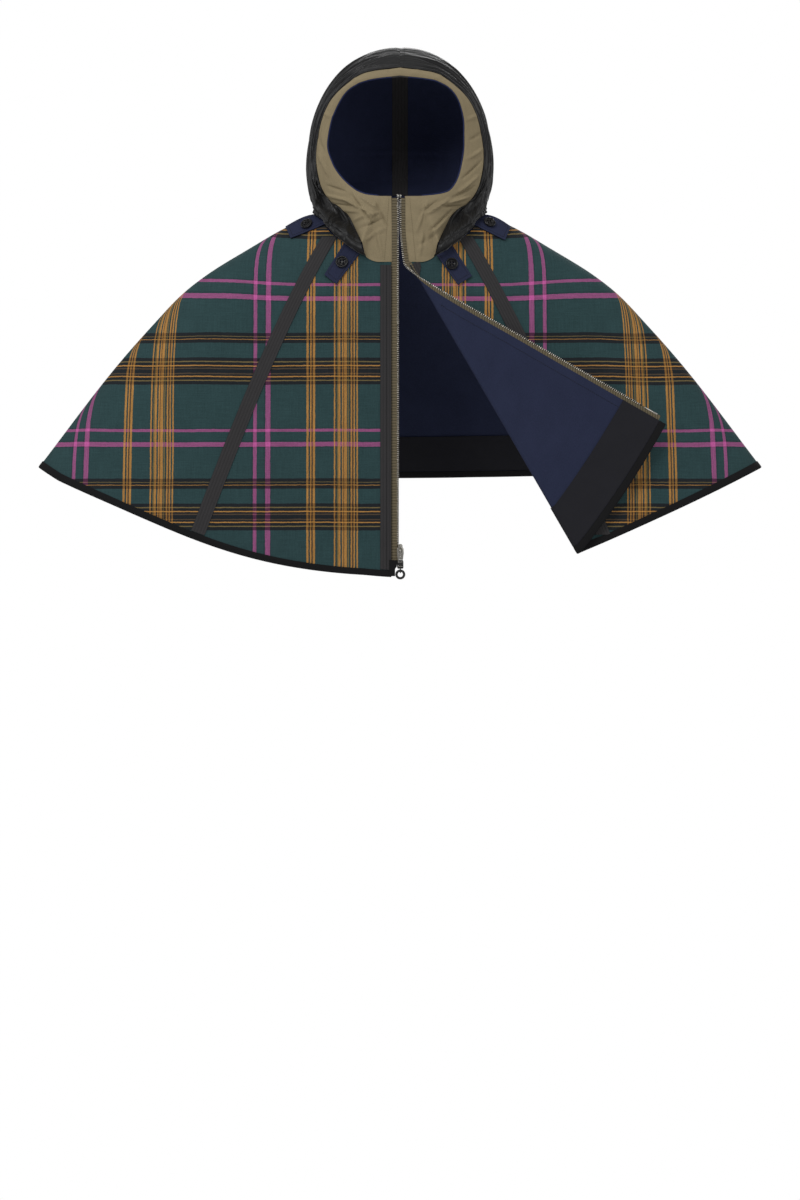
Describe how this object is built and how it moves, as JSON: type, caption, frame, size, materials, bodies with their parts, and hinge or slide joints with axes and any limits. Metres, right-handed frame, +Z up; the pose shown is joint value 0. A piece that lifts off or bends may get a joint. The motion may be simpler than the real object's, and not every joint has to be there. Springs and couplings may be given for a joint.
{
  "type": "hooded cape",
  "caption": "Short flared wool cape with a fitted hood, button tabs and a two-way front zip, one front turned back, filled out as if worn.",
  "frame": {"origin": "middle of the neck, at the height where the shoulders begin, where the wearer's shoulders carry the cape", "axes": "+Z up, -Y towards the front of the wearer, +X towards the wearer's left"},
  "size_m": [1.1546, 0.3881, 0.8514],
  "materials": {
    "plaid_wool": "thick brushed double-faced wool, plaid outside and navy inside",
    "grey_tape": "matt woven tape",
    "black_binding": "matt twill binding",
    "black_nylon": "soft wrinkled nylon with a low sheen",
    "khaki_cotton": "matt cotton twill",
    "navy_wool": "brushed wool",
    "zip_tape": "woven zip tape",
    "zip_metal": "satin nickel",
    "black_metal": "black enamel",
    "button_horn": "dark polished resin"
  },
  "bodies": {
    "cape": {"front_right": "plaid_wool", "front_left": "plaid_wool", "side_right": "plaid_wool", "side_left": "plaid_wool", "back": "plaid_wool", "seam_tape_right": "grey_tape", "seam_tape_left": "grey_tape", "facing_strip_right": "grey_tape", "facing_strip_left": "grey_tape", "hem_binding": "black_binding", "hem_facing_front_right": "black_binding", "hem_facing_front_left": "black_binding", "hem_facing_side_right": "black_binding", "hem_facing_side_left": "black_binding", "hem_facing_back": "black_binding", "zip_tape_right": "zip_tape", "zip_tape_left": "zip_tape", "zip_teeth_right": "zip_metal", "zip_teeth_left": "zip_metal", "zip_pin": "zip_metal", "zip_slider": "zip_metal", "zip_lower_slider": "black_metal", "hood_shell_right": "black_nylon", "hood_shell_left": "black_nylon", "hood_roll": "black_nylon", "hood_lining_right": "navy_wool", "hood_lining_left": "navy_wool", "hood_tape": "grey_tape", "hood_facing": "khaki_cotton", "tab_shoulder_right": "navy_wool", "tab_front_right": "navy_wool", "tab_front_left": "navy_wool", "tab_shoulder_left": "navy_wool", "button_shoulder_right": "button_horn", "button_front_right": "button_horn", "button_front_left": "button_horn", "button_shoulder_left": "button_horn"},
    "zip_pull_tab": {"zip_pull": "zip_metal"},
    "zip_ring_pull": {"zip_ring": "black_metal"}
  },
  "joints": [
    {"name": "pull_tab_swing", "type": "hinge", "parent": "cape", "child": "zip_pull_tab", "pos_m": [0.0005, -0.20133, -0.542], "axis": [1, 0, 0], "range_deg": [0, 170]},
    {"name": "ring_pull_swing", "type": "hinge", "parent": "cape", "child": "zip_ring_pull", "pos_m": [0.0005, -0.19623, -0.5693], "axis": [1, 0, 0], "range_deg": [-90, 90]}
  ]
}
